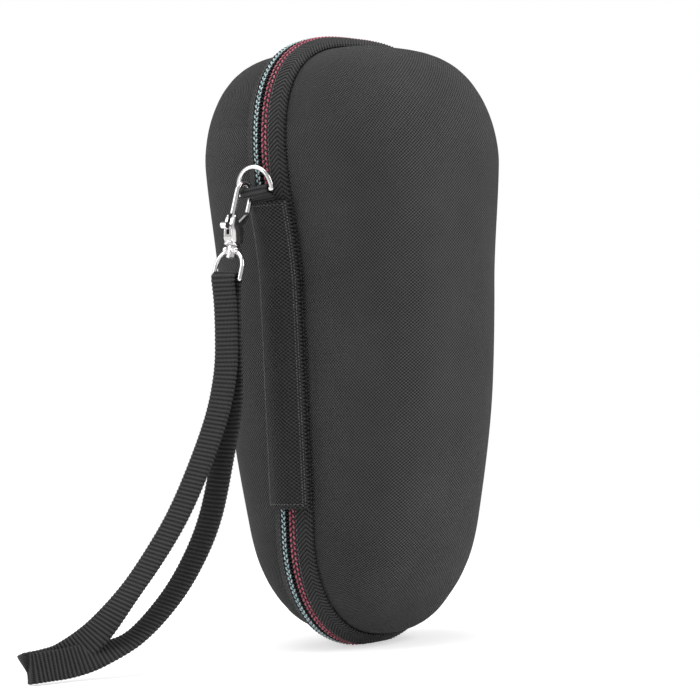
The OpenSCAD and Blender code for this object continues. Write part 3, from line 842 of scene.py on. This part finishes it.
def band_piece(name, z_low, z_high, y_mid, thick, material, rib, swell):
    """Flat band from side to side: soft ribs across it and rolled edges."""
    width, middle = z_high - z_low, (z_low + z_high) / 2
    near = np.array([0.0, 0.15, 0.5, 1.2])
    zs = np.concatenate([near, np.linspace(2.2, width - 2.2, 9), width - near[::-1]])
    edge = np.minimum(np.minimum(zs, width - zs), 1.0)
    half = thick / 2 * (0.35 + 0.65 * np.sqrt(edge))
    count = int(2 * inner_x(middle) / rib) * 4
    sections = []
    for t in np.linspace(-1, 1, count + 1):
        x = t * inner_x(z_low + zs)
        wave = swell * np.cos(2 * math.pi * x / rib)
        face = np.stack([x, y_mid - half - wave, z_low + zs], 1)
        rear = np.stack([x, y_mid + half + wave, z_low + zs], 1)[::-1]
        sections.append(np.concatenate([face, rear]))
    u = np.concatenate([zs, zs[::-1], zs[:1]])
    v = np.linspace(-1, 1, count + 1) * inner_x(middle)
    return loft(name, sections, material, v_run=v, u_run=u)


def net_piece(name, z_low, z_high, y_mid, thick, cell, material):
    """Knitted net: a field of cells, each with a hole that leans one way and then the other."""
    cols = int(2 * inner_x((z_low + z_high) / 2) / cell)
    rows = int((z_high - z_low) / cell)
    ring = [(-1, -1), (0, -1), (1, -1), (1, 0), (1, 1), (0, 1), (-1, 1), (-1, 0)]
    n = len(ring)
    verts, faces = [], []
    for i in range(rows):
        for j in range(cols):
            wide, tall = (0.56, 0.74) if (i + j) % 2 else (0.74, 0.56)
            base = len(verts)
            for level in (-0.5, 0.5):
                for a, b in ring:
                    verts.append((j + 0.5 + a / 2, level, i + 0.5 + b / 2))
                for a, b in ring:
                    far = 0.5 if a == 0 or b == 0 else 0.37
                    verts.append((j + 0.5 + a * far * wide, level, i + 0.5 + b * far * tall))
            for k in range(n):
                m = (k + 1) % n
                outer, hole, outer_far, hole_far = (base + n * q for q in range(4))
                faces.append((outer + k, outer + m, hole + m, hole + k))
                faces.append((outer_far + m, outer_far + k, hole_far + k, hole_far + m))
                faces.append((hole + k, hole + m, hole_far + m, hole_far + k))
                a, b = ring[k][0] + ring[m][0], ring[k][1] + ring[m][1]
                if (i == 0 and b < -1 or i == rows - 1 and b > 1
                        or j == 0 and a < -1 or j == cols - 1 and a > 1):
                    faces.append((outer + m, outer + k, outer_far + k, outer_far + m))
    v = np.array(verts)
    z = z_low + v[:, 2] / rows * (z_high - z_low)
    aside = 2 * v[:, 0] / cols - 1
    x = aside * inner_x(z)
    sag = 0.3 * np.sin(math.pi * v[:, 2] / rows) * np.cos(0.5 * math.pi * aside)
    points = np.stack([x, y_mid - sag + v[:, 1] * thick, z], 1)
    return fix_normals(new_mesh(name, points, faces, None, material), NET_WELD)


for side, body, word in ((1, BACK, "back"), (-1, FRONT, "front")):
    bound = binding_piece(word + "_binding_twill", side)
    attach(bound, body)
    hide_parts(word + "_rim_binding")
    row = binding_stitches(word + "_binding_stitches", side)
    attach(row, body)

ELASTIC_Z, ELASTIC_W, ELASTIC_Y = 84.0, 25.0, 8.3
elastic = band_piece("elastic_band_rib", ELASTIC_Z - ELASTIC_W / 2, ELASTIC_Z + ELASTIC_W / 2,
                     ELASTIC_Y, 0.8, M["elastic"], 1.6, 0.05)
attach(elastic, BACK)
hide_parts("elastic_retainer")
2 * float(inner_x(ELASTIC_Z)) * MM

POCKET_LOW, POCKET_TOP, HEM_H, POCKET_Y = 22.0, 118.0, 6.0, -6.9
hem = band_piece("pocket_hem_elastic", POCKET_TOP - HEM_H, POCKET_TOP, POCKET_Y, 1.5, M["hem"],
                 1.4, 0.04)
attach(hem, FRONT)
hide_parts("pocket_hem")
net = net_piece("net_pocket_knit", POCKET_LOW, POCKET_TOP - HEM_H, POCKET_Y, 0.5, 2.1,
                M["net"])
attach(net, FRONT)
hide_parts("net_pocket")
levels = np.linspace(POCKET_LOW, POCKET_TOP - HEM_H, 60)
NET_W = 2 * float(inner_x(levels).max())
NET_H = POCKET_TOP - HEM_H - POCKET_LOW
NET_AREA = 2 * float(inner_x(levels).mean()) * NET_H

# Ring tab, hook frame and wrist strap


def turn_x(deg, v):
    c, s = math.cos(math.radians(deg)), math.sin(math.radians(deg))
    return np.array([v[0], v[1] * c - v[2] * s, v[1] * s + v[2] * c])


def turn_y(deg, v):
    c, s = math.cos(math.radians(deg)), math.sin(math.radians(deg))
    return np.array([v[0] * c + v[2] * s, v[1], v[2] * c - v[0] * s])


RING_Z, RING_OFF = 154.5, 3.9
RING_X = -(float(crown_x(RING_Z)) + RING_OFF)
BAR_TILT, HOOK_Y, HOOK_OUT, HOOK_SIDE, HOOK_L = 5.0, 5.0, 15.6, 4.5, 29.1
TAB_R, TAB_T, TAB_LOW, TAB_HIGH, TAB_BESIDE = 1.32, 0.86, -5.75, 5.75, 3.65
TAB_RIB = 1.3


def ring_tab_piece():
    """Webbing that comes out of the strip, turns round the ring's bar and goes back in."""
    turn = np.radians(np.linspace(262.0, 8.0, 30))
    arc = [(TAB_R * math.cos(a), TAB_R * math.sin(a)) for a in turn]
    path = [(2.55, -3.3), (2.5, -2.7), (2.3, -2.2), (1.5, -1.75), (0.6, -1.45)] + arc
    path += [(1.6, -0.5), (2.3, -1.3), (2.95, -2.1), (3.2, -2.7), (3.2, -3.3)]
    path = np.array(path)
    run = run_along(path)
    fine = np.linspace(0, run[-1], 120)
    x, z = np.interp(fine, run, path[:, 0]), np.interp(fine, run, path[:, 1])
    for _ in range(2):
        x[1:-1] = (x[:-2] + 2 * x[1:-1] + x[2:]) / 4
        z[1:-1] = (z[:-2] + 2 * z[1:-1] + z[2:]) / 4
    across = np.array([0, 0.03, 0.12, 0.35, 0.5, 0.65, 0.88, 0.97, 1.0])
    plump = np.array([0.35, 0.8, 1.0, 0.94, 0.94, 0.94, 1.0, 0.8, 0.35])
    sections = []
    for k in range(len(fine)):
        a, b = max(k - 1, 0), min(k + 1, len(fine) - 1)
        t = np.array([x[b] - x[a], z[b] - z[a]])
        t /= np.linalg.norm(t)
        normal = np.array([-t[1], t[0]])
        tail = float(smooth(1.36, 1.56, np.array(math.hypot(x[k], z[k]))))
        high = TAB_HIGH + (TAB_BESIDE - TAB_HIGH) * tail
        ribbed = 1 + 0.1 * math.cos(2 * math.pi * fine[k] / TAB_RIB)
        thin = TAB_T / 2 * (1 - 0.25 * tail) * ribbed
        y = TAB_LOW + (high - TAB_LOW) * across
        dx, dz = normal[0] * thin * plump, normal[1] * thin * plump
        face = np.stack([x[k] + dx, y, z[k] + dz], 1)
        rear = np.stack([x[k] - dx, y, z[k] - dz], 1)
        sections.append(np.concatenate([face, rear[::-1]]))
    sections = np.array(sections)
    c, n = math.cos(math.radians(-BAR_TILT)), math.sin(math.radians(-BAR_TILT))
    turned = np.stack([sections[..., 0] + RING_X, c * sections[..., 1] - n * sections[..., 2],
                       n * sections[..., 1] + c * sections[..., 2] + RING_Z], -1)
    u = TAB_LOW + (TAB_HIGH - TAB_LOW) * across
    u = np.concatenate([u, u[::-1], u[:1]])
    return loft("ring_tab_webbing", turned, M["tab"], v_run=fine, u_run=u)


tab = ring_tab_piece()
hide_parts("ring_tab")
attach(tab, "ring_tab")
STRAP_W, STRAP_T = 10.0, 1.4


def hook_turn(v):
    """Turn from the hook's own frame to that of the part."""
    return turn_x(-BAR_TILT, turn_y(HOOK_OUT, turn_x(BAR_TILT + HOOK_SIDE, v)))


HOOK = np.array([RING_X, 0.0, RING_Z]) + turn_x(-BAR_TILT, np.array([0.0, HOOK_Y, 0.0]))
SWIVEL = HOOK + hook_turn(np.array([0.0, 0.0, -HOOK_L]))
BAR_DIR = hook_turn(np.array([0.0, 1.0, 0.0]))
WRAP = np.array([-BAR_DIR[1], BAR_DIR[0]]) / math.hypot(BAR_DIR[0], BAR_DIR[1])


def hook_frame(points):
    """Points of the hook's own frame, with its eye at the origin."""
    points = np.asarray(points, float)
    turned = np.array([hook_turn(v) for v in points.reshape(-1, 3)])
    return (HOOK + turned).reshape(points.shape)


# Smooth cast cheeks over the hook's slotted housing, its foot, and the swivel's barrel
CHEEK = np.array([(-3.9, -8.3), (-4.36, -9.6), (-4.4, -11.6), (-3.8, -14.6), (-3.0, -17.4),
                  (2.0, -17.4), (2.0, -14.6), (1.75, -12.6), (0.9, -11.4), (-1.1, -10.5),
                  (-2.3, -9.4), (-3.0, -8.3)])
CHEEK_IN, CHEEK_OUT, FOOT_TOP, FOOT_END = 1.42, 1.95, -16.9, -18.16
BARREL_Z, BARREL_HALF, BARREL_WIDE, BARREL_TALL = -19.55, 3.1, 1.75, 1.16
FOOT_X = -0.5


def rounded(outline):
    """Closed outline with its corners cut twice, so that it runs smooth."""
    for _ in range(2):
        ahead = np.roll(outline, -1, 0)
        cut = [0.75 * outline + 0.25 * ahead, 0.25 * outline + 0.75 * ahead]
        outline = np.stack(cut, 1).reshape(-1, 2)
    return outline


def inset(outline, by):
    t = unit(np.roll(outline, -1, 0) - np.roll(outline, 1, 0))
    return outline + by * np.stack([-t[:, 1], t[:, 0]], 1)


def cheek_piece(name, side):
    line = rounded(CHEEK)
    levels = [(line, CHEEK_IN), (line, CHEEK_OUT - 0.25),
              (inset(line, 0.08), CHEEK_OUT - 0.08), (inset(line, 0.26), CHEEK_OUT)]
    rings = [np.stack([o[:, 0], np.full(len(o), side * y), o[:, 1]], 1) for o, y in levels]
    return loft(name, hook_frame(np.array(rings)), M["chrome"])


def turned_piece(name, levels, along_y=False):
    """Rings of (place, half width, half depth) round an axis: z, or y for a barrel."""
    around = 40
    a = 2 * math.pi * np.arange(around) / around
    rings = []
    for place, wide, tall in levels:
        level = np.full(around, place)
        across, up = wide * np.cos(a), tall * np.sin(a)
        ring = [across, level, BARREL_Z + up] if along_y else [FOOT_X + across, up, level]
        rings.append(np.stack(ring, 1))
    return loft(name, hook_frame(np.array(rings)), M["chrome"])


for side, word in ((-1, "front"), (1, "back")):
    cheek = cheek_piece("hook_cheek_" + word, side)
    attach(cheek, "hook")
hook_foot = turned_piece("hook_foot", [(FOOT_TOP, 2.5, 1.9), (FOOT_TOP - 0.3, 2.75, 2.1),
                                       (FOOT_TOP - 0.6, 3.1, 2.3), (FOOT_END + 0.2, 3.15, 2.35),
                                       (FOOT_END + 0.05, 3.05, 2.25), (FOOT_END, 2.8, 2.0)])
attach(hook_foot, "hook")
barrel_half = [(BARREL_HALF, 0.7), (BARREL_HALF - 0.08, 0.86), (BARREL_HALF - 0.3, 0.97),
               (BARREL_HALF - 0.6, 1.0), (1.9, 1.0), (1.75, 0.93), (1.55, 0.93), (1.4, 1.0)]
barrel_levels = [(-y, w) for y, w in barrel_half] + barrel_half[::-1]
barrel = turned_piece("swivel_barrel", [(y, BARREL_WIDE * w, BARREL_TALL * w)
                                        for y, w in barrel_levels], along_y=True)
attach(barrel, "swivel")

STRAP_DIR = np.array([-0.944, 0.331])
ROUTE_TOP = 126.1
# The strap's loop: reach from the ring, aside, and height, from its sewn start round to it
ROUTE = [(-0.9, 0, 92), (-0.9, 0, 104), (-0.9, 0, 117), (-1.5, 0, 123.5), (-1.75, 0, 126.1),
         (-1.24, 0, 127.36), (0, 0, 127.9), (1.24, 0, 127.36), (1.75, 0, 126.1), (1.5, 0, 123.5),
         (0.9, 0, 117), (0.9, 0, 107), (1.7, 0, 97), (5, 0.1, 83), (11.5, 0.3, 67.5),
         (20.5, 0.5, 50.5), (30.5, 0.7, 36.5), (41.5, 0.8, 24), (52.5, 0.9, 13.5),
         (63, 0.9, 7.6), (70, 0.9, 6), (75, 0.9, 5.6), (76.6, 0, 5.5), (75, -0.9, 5.4),
         (69, -0.9, 5.6), (62, -1.1, 6), (53, -1.5, 7.6), (40, -1.7, 11.5), (27, -1.4, 22),
         (17, -1, 34.5), (9.5, -0.6, 49), (3.8, -0.2, 69), (0.2, 0, 83), (-0.9, 0, 92.5)]


def strap_at(r):
    """Place of a point of the route, turned to the ring's bar near it."""
    near = min(max(r[0], -2.0), 2.0)
    far = r[0] - near
    x = SWIVEL[0] + near * WRAP[0] + far * STRAP_DIR[0] + r[1] * STRAP_DIR[1]
    y = SWIVEL[1] + near * WRAP[1] + far * STRAP_DIR[1] - r[1] * STRAP_DIR[0]
    return np.array([x, y, r[2] * SWIVEL[2] / ROUTE_TOP])


ROUTE_STEPS = 6
END_DIR = np.array([-0.314, 0.402, 0.86])


def strap_sections():
    """Cross sections of the webbing, six to a rib, with their places and frames."""
    pts = [np.array(p, float) for p in ROUTE]
    n = len(pts)
    fine = []
    for i in range(n - 1):
        a, b, c, d = (pts[min(max(k, 0), n - 1)] for k in (i - 1, i, i + 1, i + 2))
        for s in range(ROUTE_STEPS):
            t = s / ROUTE_STEPS
            fine.append(0.5 * (2 * b + (c - a) * t + (2 * a - 5 * b + 4 * c - d) * t * t
                               + (3 * b - a - 3 * c + d) * t**3))
    fine.append(pts[-1])
    coarse = np.array([strap_at(p) for p in fine])
    reach = np.array([p[0] for p in fine])
    length = run_along(coarse)
    run = np.linspace(0, length[-1], int(length[-1] / STRAP_RIB) * 6 + 1)
    centre = np.stack([np.interp(run, length, coarse[:, k]) for k in range(3)], 1)
    reach = np.interp(run, length, reach)
    for _ in range(6):
        centre[1:-1] = (centre[:-2] + 2 * centre[1:-1] + centre[2:]) / 4
    across = np.array([-1, -0.97, -0.8, -0.4, 0, 0.4, 0.8, 0.97,
                       1, 0.97, 0.8, 0.4, 0, -0.4, -0.8, -0.97])
    up = np.array([0, 0.75, 0.96, 1, 1, 1, 0.96, 0.75,
                   0, -0.75, -0.96, -1, -1, -1, -0.96, -0.75])
    out, frames = [], []
    for i, p in enumerate(centre):
        t = centre[min(i + 1, len(centre) - 1)] - centre[max(i - 1, 0)]
        t /= np.linalg.norm(t)
        k = float(smooth(36.0, 66.0, reach[i]))
        w0 = BAR_DIR * (1 - k) + END_DIR * k
        w = w0 - w0.dot(t) * t
        w /= np.linalg.norm(w)
        u = np.cross(t, w)
        rib = math.cos(2 * math.pi * run[i] / STRAP_RIB)
        half = STRAP_W / 2 * (0.985 + 0.015 * rib)
        thick = STRAP_T / 2 * (0.9 + 0.14 * rib)
        out.append(p + half * across[:, None] * w + thick * up[:, None] * u)
        frames.append((p, t, w, u))
    u_run = np.concatenate([across, across[:1]]) * STRAP_W / 2
    return np.array(out), run, u_run, frames


TACK_SLANT = 0.5


def strap_tack(name, frames, run, start, end, rows, material):
    """Rows of close, slanted stitches over a stretch of the strap's face."""
    parts = []
    for s in np.linspace(start, end, rows):
        p, t, w, u = frames[int(np.argmin(np.abs(run - s)))]
        y = np.arange(-4.2, 4.21, 0.84)
        lean = t + TACK_SLANT * w
        lean /= np.linalg.norm(lean)
        n = len(y)
        parts.append((p + y[:, None] * w + (STRAP_T / 2 + 0.04) * u, np.tile(lean, (n, 1)),
                      np.tile(np.cross(u, lean), (n, 1)), np.tile(u, (n, 1))))
    return stitch_rows(name, parts, material, 1.3, 0.5, 0.3)


sections, run, across, strap_frames = strap_sections()
strap = loft("wrist_strap_webbing", sections, M["strap"], v_run=run, u_run=across)
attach(strap, "strap")
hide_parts("wrist_strap")
top_run = float(run[int(np.argmax([f[0][2] for f in strap_frames]))])
for label, start, end, rows in (("strap_tack_upper", 6.5, 9.5, 3),
                                ("strap_tack_lower", 26.0, 31.0, 5)):
    tack = strap_tack(label, strap_frames, run, top_run + start, top_run + end, rows,
                      M["black"])
    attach(tack, "strap")

# Floor, backdrop and lights

PAPER, PAPER_FROM, PAPER_TO, PAPER_GLOW = 0.86, 0.22, 0.5, 0.55
FLOOR_R, FLOOR_SIDES = 4000.0, 48
AIR_SOFT, AIR_GLOSSY = 0.3, 0.35


def stage_material():
    n = Nodes("stage_paper")
    put(n.bsdf, {"Base Color": (*grey(PAPER), 1.0), "Roughness": 0.9, "Specular IOR Level": 0.1})
    split = n.add("ShaderNodeSeparateXYZ")
    n.link(n.place(), split.inputs[0])
    span = n.math("SQRT", n.math("ADD", n.math("POWER", split.outputs[0], 2.0),
                                 n.math("POWER", split.outputs[1], 2.0)))
    far = n.add("ShaderNodeMapRange", interpolation_type="SMOOTHSTEP")
    n.link(span, far.inputs["Value"])
    put(far, {"From Min": PAPER_FROM, "From Max": PAPER_TO})
    white = n.add("ShaderNodeEmission")
    put(white, {"Strength": 1.0})
    paper = n.add("ShaderNodeMixShader")
    path = n.add("ShaderNodeLightPath")
    seen = n.math("MAXIMUM", path.outputs["Is Camera Ray"], path.outputs["Is Glossy Ray"])
    glow = n.add("ShaderNodeEmission")
    put(glow, {"Color": WHITE, "Strength": PAPER_GLOW})
    add = n.add("ShaderNodeAddShader")
    mix = n.add("ShaderNodeMixShader")
    n.link(n.bsdf.outputs[0], add.inputs[0])
    n.link(glow.outputs[0], add.inputs[1])
    n.link(seen, mix.inputs[0])
    n.link(n.bsdf.outputs[0], mix.inputs[1])
    n.link(far.outputs["Result"], paper.inputs[0])
    n.link(add.outputs[0], paper.inputs[1])
    n.link(white.outputs[0], paper.inputs[2])
    n.link(paper.outputs[0], mix.inputs[2])
    n.link(mix.outputs[0], n.tree.nodes["Material Output"].inputs["Surface"])
    return n.mat


def add_stage():
    turns = [2 * math.pi * k / FLOOR_SIDES for k in range(FLOOR_SIDES)]
    verts = [(FLOOR_R * math.cos(a), FLOOR_R * math.sin(a), 0.0) for a in turns]
    faces = [tuple(range(FLOOR_SIDES))]
    floor = new_mesh("studio_floor", verts, faces, None, stage_material(), False)


def add_area(name, where, size, power):
    light = bpy.data.lights.new(name, "AREA")
    light.shape = "RECTANGLE"
    light.size, light.size_y = size
    light.energy = power
    obj = bpy.data.objects.new(name, light)
    bpy.context.scene.collection.objects.link(obj)
    obj.location = where
    obj.rotation_euler = (AIM - Vector(where)).to_track_quat("-Z", "Y").to_euler()


def add_world():
    world = bpy.data.worlds.new("studio_air")
    bpy.context.scene.world = world
    world.use_nodes = True
    tree = world.node_tree
    soft = tree.nodes["Background"]
    put(soft, {"Color": WHITE, "Strength": AIR_SOFT})
    seen = tree.nodes.new("ShaderNodeBackground")
    put(seen, {"Color": WHITE, "Strength": 1.0})
    path = tree.nodes.new("ShaderNodeLightPath")
    mix = tree.nodes.new("ShaderNodeMixShader")
    either = tree.nodes.new("ShaderNodeMath")
    either.operation = "MULTIPLY_ADD"
    either.use_clamp = True
    tree.links.new(path.outputs["Is Glossy Ray"], either.inputs[0])
    either.inputs[1].default_value = AIR_GLOSSY
    tree.links.new(path.outputs["Is Camera Ray"], either.inputs[2])
    tree.links.new(either.outputs[0], mix.inputs[0])
    tree.links.new(soft.outputs[0], mix.inputs[1])
    tree.links.new(seen.outputs[0], mix.inputs[2])
    tree.links.new(mix.outputs[0], tree.nodes["World Output"].inputs["Surface"])


add_stage()
add_world()
add_area("key_light", (0.5, -0.95, 0.75), (0.8, 0.8), 7.4)
add_area("fill_light", (-0.8, 0.5, 0.55), (0.7, 0.8), 4.2)
add_area("top_light", (-0.15, 0.1, 1.1), (0.9, 0.9), 5.6)

bpy.context.scene.view_settings.view_transform = "Standard"
